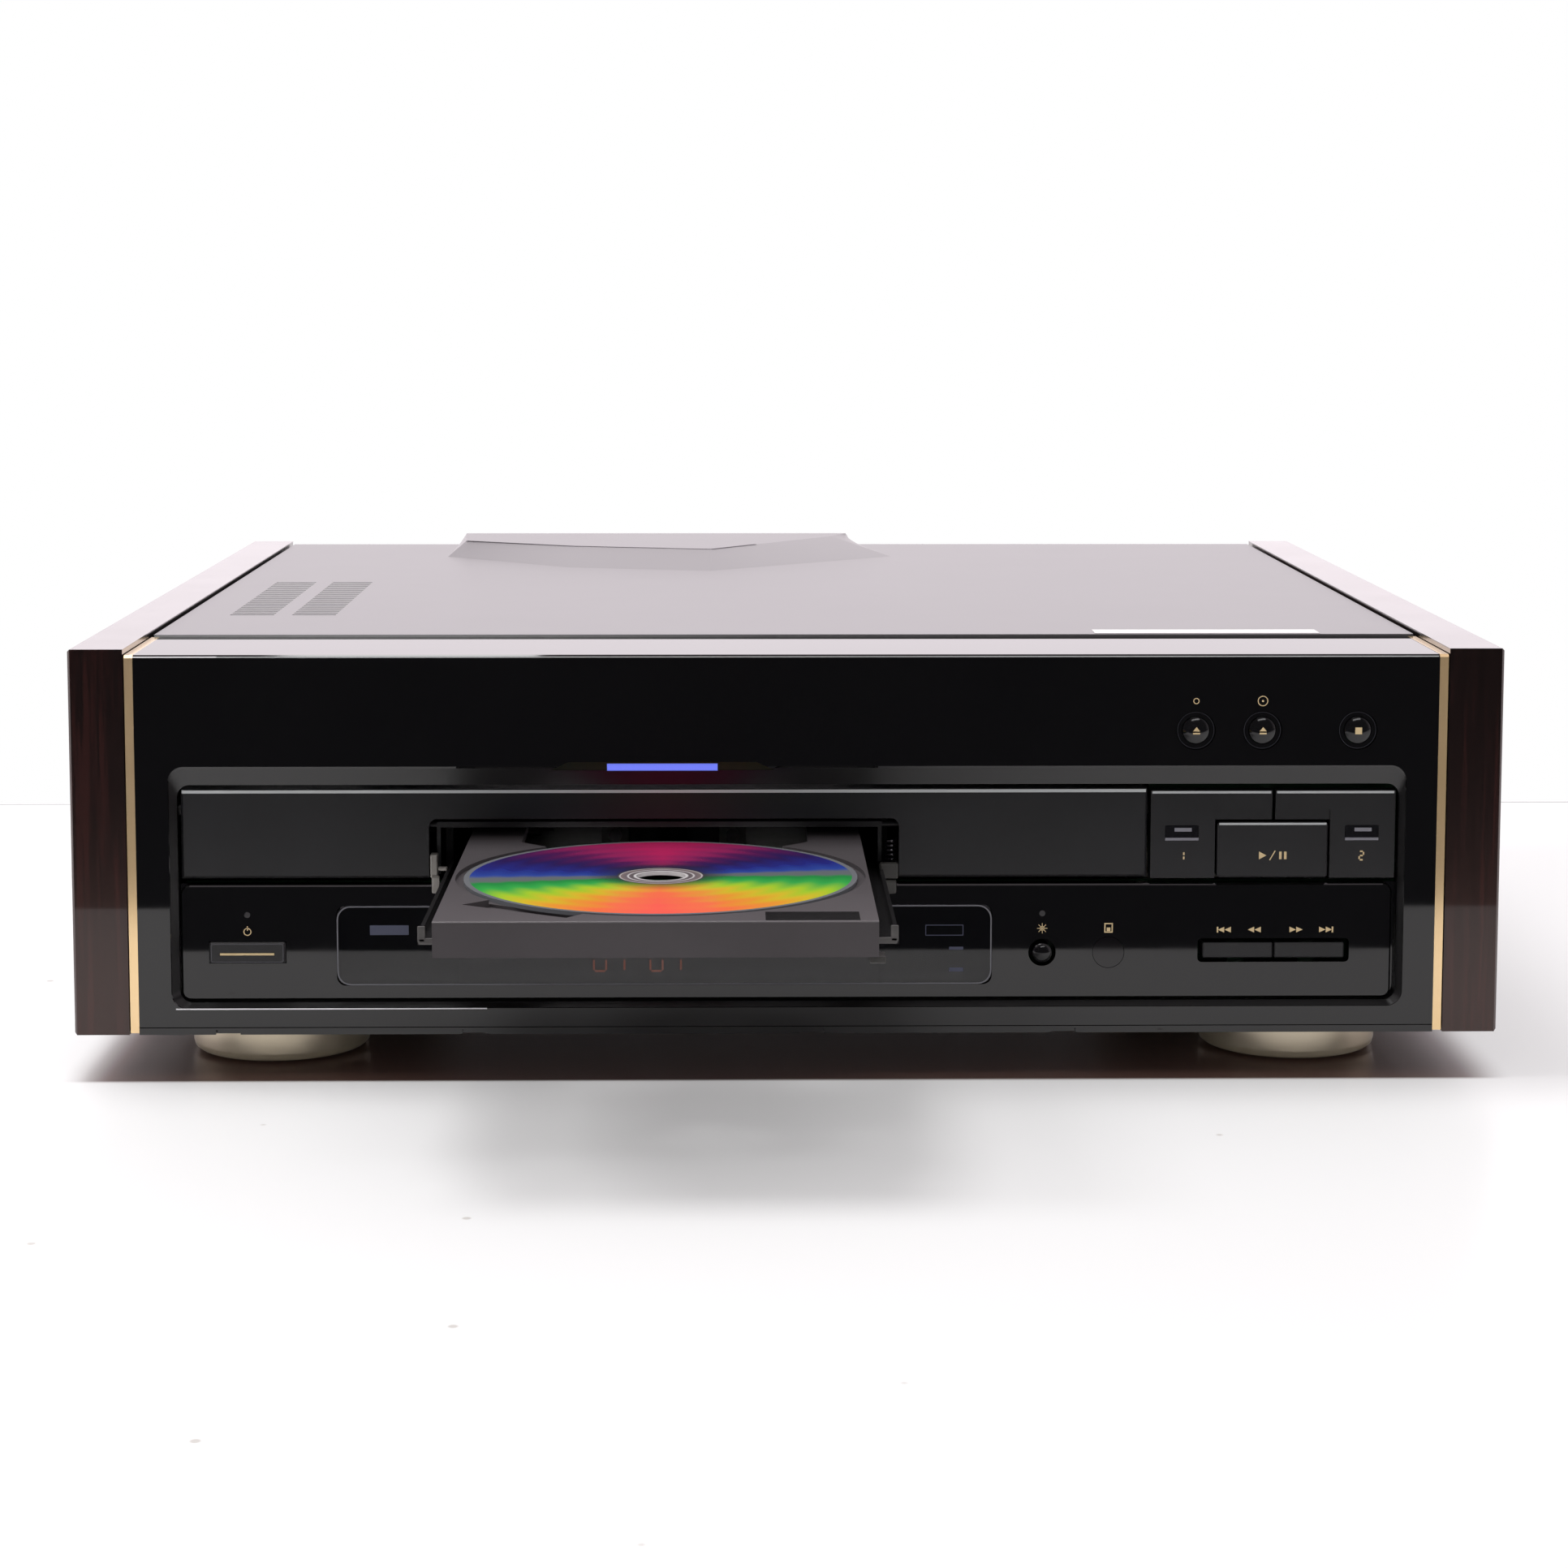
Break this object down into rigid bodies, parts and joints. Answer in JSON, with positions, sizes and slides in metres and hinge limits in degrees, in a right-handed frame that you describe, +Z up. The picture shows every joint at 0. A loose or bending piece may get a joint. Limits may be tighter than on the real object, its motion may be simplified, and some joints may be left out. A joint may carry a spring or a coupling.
{
  "type": "laserdisc player",
  "caption": "Full-width laserdisc player with a closed large drawer and an open small disc tray inside it.",
  "frame": {"origin": "on the standing surface, in the middle of the space taken up with the small tray open", "axes": "+X to the right as the front is seen, +Y to the back, +Z up"},
  "size_m": [0.464, 0.5446, 0.1456],
  "materials": {
    "cheek_wood": "high gloss lacquer over dark rosewood",
    "gold_anodised": "satin gold anodised",
    "gloss_black": "deep gloss",
    "satin_black": "satin moulded",
    "smoked_lens": "smoked clear plastic",
    "lamp_blue": "lit translucent plastic",
    "tray_grey": "fine moulded grain",
    "runner_black": "slippery moulded plastic",
    "disc_silver": "clear plastic over metallised tracks",
    "cover_paint": "charcoal paint with a fine texture",
    "zinc_steel": "zinc plated",
    "white_plastic": "natural moulded plastic",
    "motor_steel": "plain",
    "belt_rubber": "matt",
    "board_green": "solder mask",
    "part_dark": "varnished",
    "heat_aluminium": "extruded",
    "jack_gold": "gold plated",
    "foot_gold": "turned, champagne gold",
    "pad_felt": "dense pad",
    "screw_steel": "plated",
    "part_dark_metal": "black textured paint"
  },
  "bodies": {
    "cabinet": {"left_side_panel": "cheek_wood", "right_side_panel": "cheek_wood", "side_trims": "gold_anodised", "front_panel": "gloss_black", "lower_fascia": "gloss_black", "display_window": "smoked_lens", "lamp_lens": "lamp_blue", "button_rings": "gloss_black", "sensor_window": "smoked_lens", "indicator_lamps": "smoked_lens", "display_tube": "part_dark", "front_boards": "board_green", "tact_switches": "part_dark", "loading_motor": "motor_steel", "drive_belt": "belt_rubber", "clamp_bracket": "zinc_steel", "bottom_chassis": "zinc_steel", "drawer_rails": "runner_black", "rear_panel": "part_dark_metal", "output_jacks": "jack_gold", "mains_inlet": "satin_black", "main_board": "board_green", "power_board": "board_green", "transformer": "motor_steel", "capacitors": "part_dark", "heat_sink": "heat_aluminium", "top_cover": "cover_paint", "case_screws": "screw_steel", "front_left_foot": "foot_gold", "front_right_foot": "foot_gold", "rear_left_foot": "foot_gold", "rear_right_foot": "foot_gold", "foot_pads": "pad_felt"},
    "large_drawer": {"drawer_front": "satin_black", "large_tray": "runner_black", "flap_spring": "screw_steel"},
    "hatch_door": {"flap_door": "satin_black"},
    "small_tray": {"small_tray": "tray_grey", "small_tray_runners": "runner_black"},
    "disc": {"small_disc": "disc_silver"},
    "tray_pinion": {"small_tray_pinion": "white_plastic"},
    "drive_gear": {"drive_gear": "white_plastic"},
    "motor_pulley": {"motor_pulley": "white_plastic"},
    "mechanism": {"mechanism_frame": "zinc_steel", "spindle_motor": "motor_steel", "guide_rods": "motor_steel"},
    "turntable": {"turntable": "part_dark"},
    "pickup": {"pickup_carriage": "part_dark"},
    "clamp_arm": {"clamp_arm": "zinc_steel"},
    "clamper": {"clamper": "white_plastic"},
    "power_button": {"power_button": "satin_black"},
    "small_eject_button": {"small_eject_button": "gloss_black"},
    "large_eject_button": {"large_eject_button": "gloss_black"},
    "stop_button": {"stop_button": "gloss_black"},
    "display_button": {"display_button": "gloss_black"},
    "side_a_key": {"side_a_key": "satin_black"},
    "side_b_key": {"side_b_key": "satin_black"},
    "play_key": {"play_key": "satin_black"},
    "left_rocker": {"left_rocker": "satin_black"},
    "right_rocker": {"right_rocker": "satin_black"}
  },
  "joints": [
    {"name": "large_drawer_slide", "type": "slide", "parent": "cabinet", "child": "large_drawer", "axis": [0, -1, 0], "range_m": [0, 0.3]},
    {"name": "small_tray_slide", "type": "slide", "parent": "large_drawer", "child": "small_tray", "axis": [0, -1, 0], "range_m": [-0.224, 0]},
    {"name": "disc_lift_off", "type": "slide", "parent": "small_tray", "child": "disc", "axis": [0, 0, 1], "range_m": [0, 0.03]},
    {"name": "tray_pinion_turn", "type": "hinge", "parent": "large_drawer", "child": "tray_pinion", "pos_m": [-0.08745, -0.0283, 0.069], "axis": [0, 0, 1], "range_deg": [-1224.3, 2]},
    {"name": "drive_gear_turn", "type": "hinge", "parent": "cabinet", "child": "drive_gear", "pos_m": [0.1316, -0.1023, 0.061], "axis": [0, 0, 1], "range_deg": [-2, 1043.7]},
    {"name": "motor_pulley_turn", "type": "hinge", "parent": "cabinet", "child": "motor_pulley", "pos_m": [0.176, -0.0783, 0.061], "axis": [0, 0, 1], "range_deg": [-9, 4465.3]},
    {"name": "mechanism_lift", "type": "slide", "parent": "cabinet", "child": "mechanism", "axis": [0, 0, 1], "range_m": [0, 0.0155]},
    {"name": "turntable_spin", "type": "hinge", "parent": "mechanism", "child": "turntable", "pos_m": [-0.03995, 0.0217, 0.0633], "axis": [0, 0, 1], "continuous": true},
    {"name": "pickup_slide", "type": "slide", "parent": "mechanism", "child": "pickup", "axis": [0, 1, 0], "range_m": [0, 0.12]},
    {"name": "clamp_arm_tilt", "type": "hinge", "parent": "cabinet", "child": "clamp_arm", "pos_m": [-0.03995, 0.2177, 0.1022], "axis": [1, 0, 0], "range_deg": [0, 3], "stiffness_Nm_per_rad": 4, "springref_deg": -5.73},
    {"name": "clamper_spin", "type": "hinge", "parent": "clamp_arm", "child": "clamper", "pos_m": [-0.03995, 0.0217, 0.0932], "axis": [0, 0, 1], "continuous": true},
    {"name": "hatch_door_hinge", "type": "hinge", "parent": "large_drawer", "child": "hatch_door", "pos_m": [-0.03995, -0.1318, 0.0833], "axis": [1, 0, 0], "range_deg": [-3, 0], "stiffness_Nm_per_rad": 0.02, "springref_deg": 5.73},
    {"name": "power_press", "type": "slide", "parent": "cabinet", "child": "power_button", "axis": [0, 1, 0], "range_m": [0, 0.0008], "stiffness_N_per_m": 500},
    {"name": "small_eject_press", "type": "slide", "parent": "cabinet", "child": "small_eject_button", "axis": [0, 1, 0], "range_m": [0, 0.0008], "stiffness_N_per_m": 500},
    {"name": "large_eject_press", "type": "slide", "parent": "cabinet", "child": "large_eject_button", "axis": [0, 1, 0], "range_m": [0, 0.0008], "stiffness_N_per_m": 500},
    {"name": "stop_press", "type": "slide", "parent": "cabinet", "child": "stop_button", "axis": [0, 1, 0], "range_m": [0, 0.0008], "stiffness_N_per_m": 500},
    {"name": "display_press", "type": "slide", "parent": "cabinet", "child": "display_button", "axis": [0, 1, 0], "range_m": [0, 0.0008], "stiffness_N_per_m": 500},
    {"name": "side_a_press", "type": "slide", "parent": "cabinet", "child": "side_a_key", "axis": [0, 1, 0], "range_m": [0, 0.0008], "stiffness_N_per_m": 500},
    {"name": "side_b_press", "type": "slide", "parent": "cabinet", "child": "side_b_key", "axis": [0, 1, 0], "range_m": [0, 0.0008], "stiffness_N_per_m": 500},
    {"name": "play_press", "type": "slide", "parent": "cabinet", "child": "play_key", "axis": [0, 1, 0], "range_m": [0, 0.0008], "stiffness_N_per_m": 500},
    {"name": "left_rocker_swing", "type": "hinge", "parent": "cabinet", "child": "left_rocker", "pos_m": [0.14715, -0.1301, 0.0421], "axis": [0, 0, 1], "range_deg": [-2, 2], "stiffness_Nm_per_rad": 0.05},
    {"name": "right_rocker_swing", "type": "hinge", "parent": "cabinet", "child": "right_rocker", "pos_m": [0.17055, -0.1301, 0.0421], "axis": [0, 0, 1], "range_deg": [-2, 2], "stiffness_Nm_per_rad": 0.05}
  ],
  "couplings": [
    {"joint": "tray_pinion_turn", "follows": "small_tray_slide", "rad_per_m": 95.238},
    {"joint": "drive_gear_turn", "follows": "large_drawer_slide", "rad_per_m": 60.606},
    {"joint": "motor_pulley_turn", "follows": "large_drawer_slide", "rad_per_m": 259.26}
  ]
}
